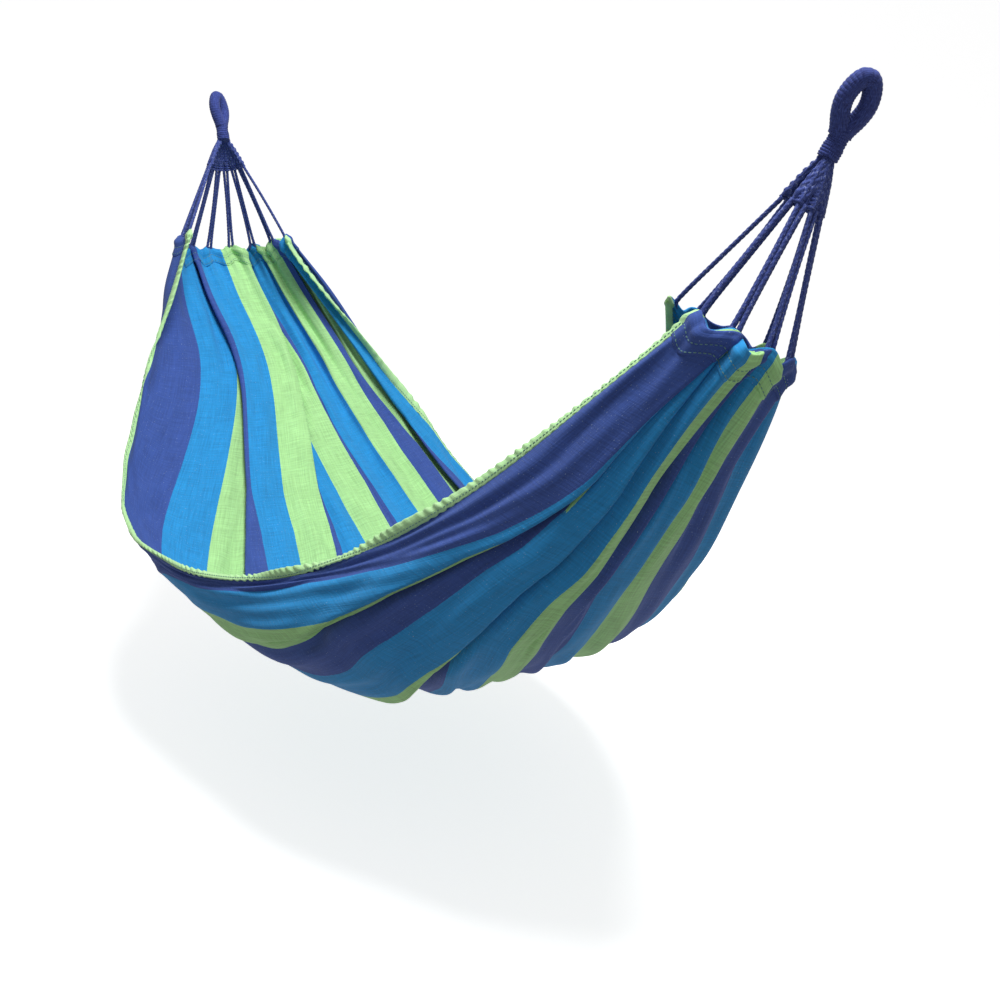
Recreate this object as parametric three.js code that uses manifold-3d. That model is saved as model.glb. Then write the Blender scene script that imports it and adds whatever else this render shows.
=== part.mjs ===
// A striped canvas hammock with gathered ends, hanging from its two wrapped rope eyes.
// Millimetres, +Z up. X runs along the hammock, from the left eye (-X) to the right eye (+X).
// The origin is halfway between the two places where the eyes rest on their hooks.
import * as THREE from "three";
import { mergeVertices } from "three/addons/utils/BufferGeometryUtils.js";
import Module from "manifold-3d";

const wasm = await Module();
wasm.setup();

// ---------------------------------------------------------------- driving dimensions
const CLOTH_THICK = 2.4; // canvas, drawn a little thick so that it is a sound solid
const SIDE_HEM_R = 5; // rolled edge
const HEM_GAP = 0.6; // between the canvas and each rolled edge
const END_HEM_R = 9; // folded tunnel at each end
const TUNNEL_R = 5.2; // the hollow inside that tunnel
const CORD_R = 3;
const CORD_CLEAR = 0.6; // room between a cord and the slot that it comes out of
const CORDS_PER_END = 8;
const PAIR_SPREAD = 3.6; // half the distance between the two legs that share one slot
const CROWN_END = 84; // distance from the neck to where the cords come apart
const CROWN_GAP = 0.5;
const CROWN_HALF = 5.5; // half thickness of the plaited crown
const NECK_R = 11;
const BALL_R = 8.5; // rounded root of the eye, on which the neck turns
const CUP_GAP = 0.6;
const THROAT_R = 6.5; // between that ball and the two legs of the eye
const LEG_START = 9;
const WHIP_R = 14;
const WHIP_LENGTH = 13;
const WHIP_START = 7; // below the middle of the neck
const STUB_START = 2;
const STUB_LENGTH = 30; // round part of the crown
const EYE_ROPE_R = 10; // wrapped rope of the eye
const EYE_HALF_WIDTH = 17; // rope centre to eye centre line
const EYE_DROP = 61; // from the hook seat down to the middle of the neck
const EYE_LEAN = 22; // degrees outwards from upright

// The two ends. Each fan of cords spreads as part of a cone below its neck.
const ENDS = {
  left: {
    side: -1,
    neck: 744, // distance of the neck from the middle of the hammock
    dip: 72.2, // degrees that the fan's axis points below level
    turn: 7.8, // degrees that the axis turns towards +Y
    cone: 27.9, // half angle of the cone
    middle: 4.4, // where the middle cord sits on the cone, from its outer line
    spread: 99.5, // how far round the cone the side cords sit
    eyeTurn: 118, // direction of the eye's width, degrees from +X towards +Y
  },
  right: {
    side: 1,
    neck: 744,
    dip: 68.2,
    turn: -42.1,
    cone: 19.2,
    middle: 10,
    spread: 142.4,
    eyeTurn: 58,
  },
};
const FAN = 260; // neck to end hem, along a cord

// The hanging shape halfway along the hammock.
const MID = {
  nearWidth: 397,
  farWidth: 439,
  bottom: 839, // below the necks, as the two rims are
  nearRim: 695,
  farRim: 757,
  widthPower: 0.6,
  rimPower: 1.05,
};
// How quickly a lengthwise thread leaves its end, sideways and downwards, and its slant.
const RUN = {
  middle: { out: 2.8, down: 2.2, shift: 0.2 },
  near: { out: 2.05, down: 2.7, shift: -0.25 },
  far: { out: 2.64, down: 2.37, shift: -0.12 },
};
const CLOTH_STEPS = 24; // along
const CLOTH_PART = 260; // from the middle to each parting of the canvas
const CLOTH_GAP = 0.3;
const CLOTH_COLUMNS = 22; // across
const ROW_SAMPLES = 96;
const HEM_STEPS = 20;
const CROWN_COLUMNS = 16;
const SIDE_HEM_REACH = 0.984; // share of the half length, clear of the end hems

const NAVY = 0x24367e;
const BLUE = 0x1c86c4;
const GREEN = 0x9fe07c;

// ---------------------------------------------------------------- the hanging shape
const rad = THREE.MathUtils.degToRad;
const SEAT_UP = EYE_DROP * Math.cos(rad(EYE_LEAN));

function neckOf(end) {
  return new THREE.Vector3(end.side * end.neck, 0, -SEAT_UP);
}

// Unit vectors of a fan: along its axis, across it upwards, and across it towards +Y.
function fanFrame(end) {
  const inward = new THREE.Vector3(
    -end.side * Math.cos(rad(end.turn)),
    Math.sin(rad(end.turn)),
    0,
  );
  const axis = inward.clone().multiplyScalar(Math.cos(rad(end.dip)));
  axis.z -= Math.sin(rad(end.dip));
  const up = inward.clone().multiplyScalar(Math.sin(rad(end.dip)));
  up.z += Math.cos(rad(end.dip));
  const lateral = new THREE.Vector3().crossVectors(axis, up);
  if (lateral.y < 0) lateral.negate();
  return { axis, up, lateral };
}

// Direction of the cord at v, from the near side (-1) to the far side (+1).
function fanDirection(end, v) {
  const { axis, up, lateral } = fanFrame(end);
  const round = rad(end.middle + end.spread * v);
  const cone = rad(end.cone);
  return axis
    .multiplyScalar(Math.cos(cone))
    .addScaledVector(up, -Math.sin(cone) * Math.cos(round))
    .addScaledVector(lateral, Math.sin(cone) * Math.sin(round));
}

function fanPoint(end, v, distance) {
  return neckOf(end).addScaledVector(fanDirection(end, v), distance);
}

// Unit normal of the fan, away from its axis.
function fanNormal(end, v) {
  const step = 1e-3;
  const along = fanDirection(end, v + step).sub(fanDirection(end, v - step));
  const normal = new THREE.Vector3().crossVectors(along, fanDirection(end, v)).normalize();
  if (normal.dot(fanFrame(end).axis) > 0) normal.negate();
  return normal;
}

// Point of the lengthwise thread v at t, from the left end (-1) to the right end (+1).
function threadPoint(t, v) {
  const start = fanPoint(ENDS.left, v, FAN);
  const stop = fanPoint(ENDS.right, v, FAN);
  const near = v < 0;
  const s = Math.sin((Math.PI * v) / 2);
  const c = Math.max(0, Math.cos((Math.PI * v) / 2));
  const width = near ? MID.nearWidth : MID.farWidth;
  const rim = near ? MID.nearRim : MID.farRim;
  const midY = width * Math.sign(s) * Math.abs(s) ** MID.widthPower;
  const midZ = -MID.bottom + (MID.bottom - rim) * (1 - c ** MID.rimPower) - SEAT_UP;
  const edge = near ? RUN.near : RUN.far;
  const w = v * v;
  const mix = (key) => RUN.middle[key] * (1 - w) + edge[key] * w;
  const x = t + mix("shift") * (1 - t * t);
  const straight = start.clone().lerp(stop, (t + 1) / 2);
  const reach = Math.abs(t);
  return new THREE.Vector3(
    THREE.MathUtils.lerp(start.x, stop.x, (x + 1) / 2),
    straight.y + (midY - (start.y + stop.y) / 2) * (1 - reach ** mix("out")),
    straight.z + (midZ - (start.z + stop.z) / 2) * (1 - reach ** mix("down")),
  );
}

// One row across the cloth at t: points at equal distances from rim to rim.
function clothRow(t, count) {
  const dense = [];
  for (let i = 0; i <= ROW_SAMPLES; i++) dense.push(threadPoint(t, (2 * i) / ROW_SAMPLES - 1));
  const run = [0];
  for (let i = 1; i < dense.length; i++) run.push(run[i - 1] + dense[i].distanceTo(dense[i - 1]));
  const total = run[run.length - 1];
  const row = [];
  let k = 1;
  for (let i = 0; i <= count; i++) {
    const want = (total * i) / count;
    while (k < run.length - 1 && run[k] < want) k++;
    const share = (want - run[k - 1]) / (run[k] - run[k - 1]);
    row.push(dense[k - 1].clone().lerp(dense[k], share));
  }
  return row;
}

// ---------------------------------------------------------------- solids
// A path through stations that are not evenly spaced.
class Route extends THREE.Curve {
  constructor(stations) {
    super();
    this.stations = stations;
  }
  getPoint(u, target = new THREE.Vector3()) {
    const last = this.stations.length - 1;
    const k = Math.min(last - 1, Math.floor(u * last + 1e-9));
    return target.lerpVectors(this.stations[k], this.stations[k + 1], u * last - k);
  }
  getPointAt(u, target) {
    return this.getPoint(u, target);
  }
  getTangentAt(u, target = new THREE.Vector3()) {
    const last = this.stations.length - 1;
    const k = Math.round(u * last);
    const before = this.stations[Math.max(0, k - 1)];
    const after = this.stations[Math.min(last, k + 1)];
    return target.subVectors(after, before).normalize();
  }
}

function polygon(radius, sides) {
  const corner = radius / Math.cos(Math.PI / sides);
  const points = [];
  for (let i = 0; i < sides; i++) {
    const a = ((i + 0.5) * 2 * Math.PI) / sides;
    points.push(new THREE.Vector2(corner * Math.cos(a), corner * Math.sin(a)));
  }
  return new THREE.Shape(points);
}

function tube(stations, radius, sides) {
  return new THREE.ExtrudeGeometry(polygon(radius, sides), {
    steps: stations.length - 1,
    bevelEnabled: false,
    extrudePath: new Route(stations),
  });
}

// A closed sheet about a grid of points, halfThickness(i) to each side of row i.
function sheet(grid, halfThickness) {
  const rows = grid.length;
  const columns = grid[0].length;
  const at = (i, j) =>
    grid[Math.min(rows - 1, Math.max(0, i))][Math.min(columns - 1, Math.max(0, j))];
  const positions = [];
  for (const side of [1, -1]) {
    for (let i = 0; i < rows; i++) {
      for (let j = 0; j < columns; j++) {
        const along = at(i + 1, j).clone().sub(at(i - 1, j));
        const across = at(i, j + 1).clone().sub(at(i, j - 1));
        const normal = along.cross(across).normalize();
        const p = at(i, j).clone().addScaledVector(normal, side * halfThickness(i));
        positions.push(p.x, p.y, p.z);
      }
    }
  }
  const top = (i, j) => i * columns + j;
  const bottom = (i, j) => rows * columns + top(i, j);
  const index = [];
  const quad = (a, b, c, d) => index.push(a, b, c, a, c, d);
  for (let i = 0; i < rows - 1; i++) {
    for (let j = 0; j < columns - 1; j++) {
      quad(top(i, j), top(i + 1, j), top(i + 1, j + 1), top(i, j + 1));
      quad(bottom(i, j), bottom(i, j + 1), bottom(i + 1, j + 1), bottom(i + 1, j));
    }
    quad(top(i, 0), bottom(i, 0), bottom(i + 1, 0), top(i + 1, 0));
    const j = columns - 1;
    quad(top(i, j), top(i + 1, j), bottom(i + 1, j), bottom(i, j));
  }
  for (let j = 0; j < columns - 1; j++) {
    quad(top(0, j), top(0, j + 1), bottom(0, j + 1), bottom(0, j));
    const i = rows - 1;
    quad(top(i, j), bottom(i, j), bottom(i, j + 1), top(i, j + 1));
  }
  const geometry = new THREE.BufferGeometry();
  geometry.setAttribute("position", new THREE.Float32BufferAttribute(positions, 3));
  geometry.setIndex(index);
  return geometry;
}

function solid(geometry) {
  const bare = geometry.clone();
  bare.deleteAttribute("normal");
  bare.deleteAttribute("uv");
  const merged = mergeVertices(bare, 1e-3);
  return new wasm.Manifold(
    new wasm.Mesh({
      numProp: 3,
      vertProperties: merged.attributes.position.array,
      triVerts: new Uint32Array(merged.index.array),
    }),
  );
}

function geometryOf(manifold) {
  const mesh = manifold.getMesh();
  const geometry = new THREE.BufferGeometry();
  geometry.setAttribute("position", new THREE.Float32BufferAttribute(mesh.vertProperties, 3));
  geometry.setIndex([...mesh.triVerts]);
  geometry.computeVertexNormals();
  return geometry;
}

// Turns and moves a geometry so that its +Y axis lies along a direction at a point.
function stand(geometry, direction, point) {
  const turn = new THREE.Quaternion().setFromUnitVectors(new THREE.Vector3(0, 1, 0), direction);
  return geometry.applyQuaternion(turn).translate(point.x, point.y, point.z);
}

const hammock = new THREE.Group();

function add(name, geometry, color, roughness) {
  const material = new THREE.MeshStandardMaterial({ color, roughness, metalness: 0 });
  const mesh = new THREE.Mesh(geometry, material);
  mesh.name = name;
  hammock.add(mesh);
}

// ---------------------------------------------------------------- canvas and its side hems
// v covered by one millimetre along the end hem.
function perMillimetre(end) {
  return 1 / (FAN * Math.sin(rad(end.cone)) * rad(end.spread));
}

// The line of an end hem, carried a little past the outermost slots.
function hemStations(end, count, over) {
  const stations = [];
  for (let i = 0; i <= count; i++) {
    const v = (1 + over * perMillimetre(end)) * ((2 * i) / count - 1);
    stations.push(fanPoint(end, v, FAN));
  }
  return stations;
}

// Stations along the hammock from -reach to reach, closer together towards the ends.
function stationsAlong(steps, reach) {
  const most = Math.PI * 0.43;
  const stations = [];
  for (let i = 0; i <= steps; i++) {
    stations.push((reach * Math.sin(((2 * i) / steps - 1) * most)) / Math.sin(most));
  }
  return stations;
}

const clothGrid = stationsAlong(CLOTH_STEPS, 1).map((t) => clothRow(t, CLOTH_COLUMNS));
let cloth = solid(sheet(clothGrid, () => CLOTH_THICK / 2));

for (const [name, v] of [["near_side_hem", -1], ["far_side_hem", 1]]) {
  const rim = stationsAlong(CLOTH_STEPS + 4, SIDE_HEM_REACH).map((t) => threadPoint(t, v));
  add(name, tube(rim, SIDE_HEM_R, 8), GREEN, 0.95);
  const past = [threadPoint(-1.01, v), ...rim, threadPoint(1.01, v)];
  cloth = cloth.subtract(solid(tube(past, SIDE_HEM_R + HEM_GAP, 8)));
}
for (const end of Object.values(ENDS)) {
  cloth = cloth.subtract(solid(tube(hemStations(end, HEM_STEPS, 14), END_HEM_R + HEM_GAP, 8)));
}
// The canvas is one length; it is made in three stretches that all but touch, so that each can be
// given its own collision pieces.
const stretches = [
  ["cloth_left", cloth.trimByPlane([-1, 0, 0], CLOTH_PART + CLOTH_GAP / 2)],
  [
    "cloth_middle",
    cloth
      .trimByPlane([1, 0, 0], -CLOTH_PART + CLOTH_GAP / 2)
      .trimByPlane([-1, 0, 0], -CLOTH_PART + CLOTH_GAP / 2),
  ],
  ["cloth_right", cloth.trimByPlane([1, 0, 0], CLOTH_PART + CLOTH_GAP / 2)],
];
for (const [name, stretch] of stretches) add(name, geometryOf(stretch), BLUE, 0.95);

// ---------------------------------------------------------------- the two ends
const LAST_SLOT = 0.955;
const slotAt = (k) => LAST_SLOT * ((2 * k) / CORDS_PER_END - 1);

// Route of cord k: down from the crown, through the tunnel to the next slot, and up again.
function cordStations(end, k, legStart) {
  const bend = 7;
  const share = perMillimetre(end);
  const from = slotAt(k) + PAIR_SPREAD * share;
  const to = slotAt(k + 1) - PAIR_SPREAD * share;
  const spreadTop = (FAN / (CROWN_END + CROWN_GAP)) * share * PAIR_SPREAD;
  const stations = [
    fanPoint(end, slotAt(k) + spreadTop, legStart),
    fanPoint(end, from, FAN - 2 * bend),
  ];
  const corner = (v, sign, a) =>
    fanPoint(end, v + sign * bend * share * (1 - Math.cos(a)), FAN - bend + bend * Math.sin(a));
  for (const a of [0, Math.PI / 4, Math.PI / 2]) stations.push(corner(from, 1, a));
  stations.push(fanPoint(end, (from + to) / 2, FAN));
  for (const a of [Math.PI / 2, Math.PI / 4, 0]) stations.push(corner(to, -1, a));
  stations.push(
    fanPoint(end, to, FAN - 2 * bend),
    fanPoint(end, slotAt(k + 1) - spreadTop, legStart),
  );
  return stations;
}

for (const [name, end] of Object.entries(ENDS)) {
  const neck = neckOf(end);
  const { axis } = fanFrame(end);

  // Folded end hem: a tunnel that the cords run through, open at both ends and at the slots.
  let hem = solid(tube(hemStations(end, HEM_STEPS, 4), END_HEM_R, 8));
  hem = hem.subtract(solid(tube(hemStations(end, HEM_STEPS, 12), TUNNEL_R, 6)));
  for (let k = 0; k < CORDS_PER_END; k++) {
    const cord = cordStations(end, k, CROWN_END + CROWN_GAP);
    hem = hem.subtract(solid(tube(cord, CORD_R + CORD_CLEAR, 8)));
    add(`${name}_cord_${k + 1}`, tube(cord, CORD_R, 8), NAVY, 0.85);
  }
  add(`${name}_end_hem`, geometryOf(hem), NAVY, 0.95);

  // Plaited crown: a thick cone sheet that joins a round neck with a cup for the eye's root.
  const crownGrid = [];
  const reaches = [26, 40, 54, 69, CROWN_END];
  for (const r of reaches) {
    const row = [];
    for (let j = 0; j <= CROWN_COLUMNS; j++) row.push(fanPoint(end, (2 * j) / CROWN_COLUMNS - 1, r));
    crownGrid.push(row);
  }
  const fat = (i) => Math.min(CROWN_HALF, 0.4 * reaches[i] * Math.sin(rad(end.cone)));
  const stubAt = neck.clone().addScaledVector(axis, STUB_START + STUB_LENGTH / 2);
  const stub = stand(
    new THREE.CylinderGeometry(NECK_R, NECK_R, STUB_LENGTH, 16),
    axis.clone().negate(),
    stubAt,
  );
  const cup = new THREE.SphereGeometry(BALL_R + CUP_GAP, 16, 10).translate(neck.x, neck.y, neck.z);
  add(
    `${name}_crown`,
    geometryOf(solid(sheet(crownGrid, fat)).add(solid(stub)).subtract(solid(cup))),
    NAVY,
    0.85,
  );

  // Whipping round the neck.
  const bore = NECK_R + 0.4;
  const ring = [
    new THREE.Vector2(bore, -WHIP_LENGTH / 2),
    new THREE.Vector2(WHIP_R - 1, -WHIP_LENGTH / 2),
    new THREE.Vector2(WHIP_R, -WHIP_LENGTH / 2 + 1),
    new THREE.Vector2(WHIP_R, WHIP_LENGTH / 2 - 1),
    new THREE.Vector2(WHIP_R - 1, WHIP_LENGTH / 2),
    new THREE.Vector2(bore, WHIP_LENGTH / 2),
    new THREE.Vector2(bore, -WHIP_LENGTH / 2),
  ];
  const whipAt = neck.clone().addScaledVector(axis, WHIP_START + WHIP_LENGTH / 2);
  add(`${name}_whipping`, stand(new THREE.LatheGeometry(ring, 16), axis.clone().negate(), whipAt), NAVY, 0.85);

  // Wrapped eye: a teardrop of rope on a ball-shaped root. Its last leg is a piece of its own,
  // a hair thinner so that the two walls never lie in one another.
  const leg = [
    [3.5, LEG_START],
    [3.5, LEG_START + 2],
    [8, 18],
    [13.5, 28],
  ];
  const shoulder = [
    [EYE_HALF_WIDTH, 42],
    [14.5, 57],
    [9.5, 67],
    [5, EYE_DROP + EYE_ROPE_R],
    [3, EYE_DROP + EYE_ROPE_R],
  ];
  const mirrored = (points) => points.map(([u, w]) => [-u, w]).reverse();
  const rope = (points, radius) =>
    solid(tube(points.map(([u, w]) => new THREE.Vector3(u, w, 0)), radius, 12));
  const arch = [...leg, ...shoulder, ...mirrored(shoulder), [-13.5, 28]];
  const lastLeg = [[-15.6, 36], ...mirrored(leg)];
  const root = new THREE.SphereGeometry(BALL_R, 16, 10);
  const throat = new THREE.CylinderGeometry(THROAT_R, THROAT_R, LEG_START + 5, 16);
  throat.translate(0, (LEG_START + 5) / 2, 0);
  const eye = geometryOf(
    rope(arch, EYE_ROPE_R)
      .add(rope(lastLeg, EYE_ROPE_R - 0.1))
      .add(solid(throat))
      .add(solid(root)),
  );
  const up = new THREE.Vector3(end.side * Math.sin(rad(EYE_LEAN)), 0, Math.cos(rad(EYE_LEAN)));
  const wide = new THREE.Vector3(Math.cos(rad(end.eyeTurn)), Math.sin(rad(end.eyeTurn)), 0);
  wide.addScaledVector(up, -wide.dot(up)).normalize();
  const placed = new THREE.Matrix4().makeBasis(wide, up, new THREE.Vector3().crossVectors(wide, up));
  placed.setPosition(neck);
  add(`${name}_eye`, eye.applyMatrix4(placed), NAVY, 0.85);
}

export default hammock;
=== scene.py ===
import math

import bpy
import numpy as np
from mathutils import Matrix, Vector


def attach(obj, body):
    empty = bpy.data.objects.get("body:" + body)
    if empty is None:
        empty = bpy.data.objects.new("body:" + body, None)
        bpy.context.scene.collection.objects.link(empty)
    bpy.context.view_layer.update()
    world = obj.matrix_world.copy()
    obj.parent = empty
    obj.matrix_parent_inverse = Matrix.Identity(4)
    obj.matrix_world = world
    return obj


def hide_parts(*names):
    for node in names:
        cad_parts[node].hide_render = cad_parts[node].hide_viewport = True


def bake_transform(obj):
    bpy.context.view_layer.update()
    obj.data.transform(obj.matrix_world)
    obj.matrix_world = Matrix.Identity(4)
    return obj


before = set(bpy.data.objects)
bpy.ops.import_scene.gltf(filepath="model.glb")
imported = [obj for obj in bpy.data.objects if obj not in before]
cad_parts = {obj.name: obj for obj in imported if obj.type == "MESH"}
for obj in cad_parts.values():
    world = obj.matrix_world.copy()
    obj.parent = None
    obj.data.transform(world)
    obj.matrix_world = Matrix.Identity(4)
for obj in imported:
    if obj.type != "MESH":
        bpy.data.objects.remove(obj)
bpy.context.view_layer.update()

# A gathered-end hammock of striped cotton canvas. Everything is in metres, +X along the hammock
# from the left eye to the right eye, +Z up, the near rim towards -Y.

# ------------------------------------------------------------------ sizes of the real object
MM = 0.001
CANVAS_LENGTH = 2.0
EDGE_STRIPE = 140 * MM  # the first navy stripe, with the near hem in it
STRIPE = 85 * MM
STRIPES = 17
CANVAS_WIDTH = EDGE_STRIPE + (STRIPES - 1) * STRIPE
HEM_WIDTH = 20 * MM
CORD = 6 * MM  # diameter of a suspension cord
CORD_LAY = 21 * MM  # one turn of its three strands
EYE_ROPE = 22 * MM  # diameter over the serving
SERVING = 4.2 * MM  # pitch of the cord wrapped round the eye
WHIPPING = 3.5 * MM  # pitch of the cord wrapped round the neck
STITCH_PITCH, STITCH_LENGTH, STITCH_THICK = 5.5 * MM, 3.6 * MM, 0.55 * MM

# ------------------------------------------------------------------ the hanging shape, as in the CAD
FAN = 260 * MM  # neck to end hem, along a cord
EYE_RISE = 61 * MM  # neck to hook seat, along the leaning eye
EYE_LEAN = math.radians(22)
NECK_Z = -EYE_RISE * math.cos(EYE_LEAN)
NECK_X = 744 * MM
ENDS = {
    "left": dict(side=-1, dip=72.2, turn=7.8, cone=27.9, middle=4.4, spread=99.5, eye_turn=118),
    "right": dict(side=1, dip=68.2, turn=-42.1, cone=19.2, middle=10, spread=142.4, eye_turn=58),
}
MID = dict(near=0.397, far=0.439, bottom=0.839, near_rim=0.695, far_rim=0.757)
RUN = dict(middle=(2.8, 2.2, 0.2), near=(2.05, 2.7, -0.25), far=(2.64, 2.37, -0.12))
CORDS = 8
LAST_SLOT = 0.955


def slot_place(k):
    return LAST_SLOT * (2 * k / CORDS - 1)


def fan_frame(end):
    turn, dip = math.radians(end["turn"]), math.radians(end["dip"])
    inward = np.array([-end["side"] * math.cos(turn), math.sin(turn), 0])
    axis = inward * math.cos(dip) + np.array([0, 0, -math.sin(dip)])
    up = inward * math.sin(dip) + np.array([0, 0, math.cos(dip)])
    lateral = np.cross(axis, up)
    return axis, up, lateral if lateral[1] > 0 else -lateral


def neck_of(end):
    return np.array([end["side"] * NECK_X, 0, NECK_Z])


def fan_direction(end, v):
    axis, up, lateral = fan_frame(end)
    cone = math.radians(end["cone"])
    angle = np.radians(end["middle"] + end["spread"] * np.asarray(v, float))[..., None]
    return axis * math.cos(cone) + math.sin(cone) * (-up * np.cos(angle) + lateral * np.sin(angle))


def fan_outward(end, v):
    """Square to the cone of cords at v, away from its axis."""
    axis = fan_frame(end)[0]
    way = fan_direction(end, v)
    out = way - axis * (way @ axis)[..., None]
    out -= way * (out * way).sum(-1)[..., None]
    return out / np.linalg.norm(out, axis=-1, keepdims=True)


def fan_point(end, v, distance):
    return neck_of(end) + fan_direction(end, v) * np.asarray(distance)[..., None]


def thread_point(t, v):
    """A point of the smooth hanging shape: t from the left end to the right, v from rim to rim."""
    t, v = np.broadcast_arrays(np.asarray(t, float), np.asarray(v, float))
    start = neck_of(ENDS["left"]) + fan_direction(ENDS["left"], v) * FAN
    stop = neck_of(ENDS["right"]) + fan_direction(ENDS["right"], v) * FAN
    s, c = np.sin(np.pi * v / 2), np.cos(np.pi * v / 2)
    width = np.where(v < 0, MID["near"], MID["far"])
    rim = np.where(v < 0, MID["near_rim"], MID["far_rim"])
    mid_y = width * np.sign(s) * np.abs(s) ** 0.6
    mid_z = -MID["bottom"] + (MID["bottom"] - rim) * (1 - np.abs(c) ** 1.05) + NECK_Z
    edge = v * v

    def mix(k):
        return RUN["middle"][k] * (1 - edge) + np.where(v < 0, RUN["near"][k], RUN["far"][k]) * edge

    x = t + mix(2) * (1 - t * t)
    line = start + (stop - start) * ((t + 1) / 2)[..., None]
    away = np.abs(t)
    px = start[..., 0] + (stop[..., 0] - start[..., 0]) * (x + 1) / 2
    py = line[..., 1] + (mid_y - (start[..., 1] + stop[..., 1]) / 2) * (1 - away ** mix(0))
    pz = line[..., 2] + (mid_z - (start[..., 2] + stop[..., 2]) / 2) * (1 - away ** mix(1))
    return np.stack([px, py, pz], -1)


# ------------------------------------------------------------------ camera
CAMERA_PLACE = (1.5054, -1.1239, -0.1729)
CAMERA_YAW = math.radians(48.4)  # to the left of +Y


def place_camera():
    """A camera at the near right, a little above the rims, looking along and down into the bed."""
    yaw, pitch, roll = CAMERA_YAW, math.radians(-14.25), math.radians(5.69)
    ahead = Vector((-math.sin(yaw) * math.cos(pitch), math.cos(yaw) * math.cos(pitch), math.sin(pitch)))
    flat = Vector((math.cos(yaw), math.sin(yaw), 0))
    over = flat.cross(ahead)
    right = flat * math.cos(roll) + over * math.sin(roll)
    up = over * math.cos(roll) - flat * math.sin(roll)
    data = bpy.data.cameras.new("camera")
    data.sensor_width = 36
    data.lens = 40.13
    data.clip_end = 50
    camera = bpy.data.objects.new("camera", data)
    bpy.context.scene.collection.objects.link(camera)
    turn = Matrix((right, up, -ahead)).transposed().to_4x4()
    camera.matrix_world = Matrix.Translation(CAMERA_PLACE) @ turn
    bpy.context.scene.camera = camera


place_camera()


# ------------------------------------------------------------------ colours and nodes
def linear(hex_colour):
    """sRGB hex to the linear colour that a shader takes."""
    parts = [int(hex_colour[i : i + 2], 16) / 255 for i in (0, 2, 4)]
    return (*[c / 12.92 if c <= 0.04045 else ((c + 0.055) / 1.055) ** 2.4 for c in parts], 1.0)


def add(tree, kind, values=None, links=None, **settings):
    """Adds one node with its settings, its socket values and the sockets that feed it."""
    made = tree.nodes.new(kind)
    for key, value in settings.items():
        setattr(made, key, value)
    for key, value in (values or {}).items():
        made.inputs[key].default_value = value
    for key, source in (links or {}).items():
        tree.links.new(source, made.inputs[key])
    return made


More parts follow.
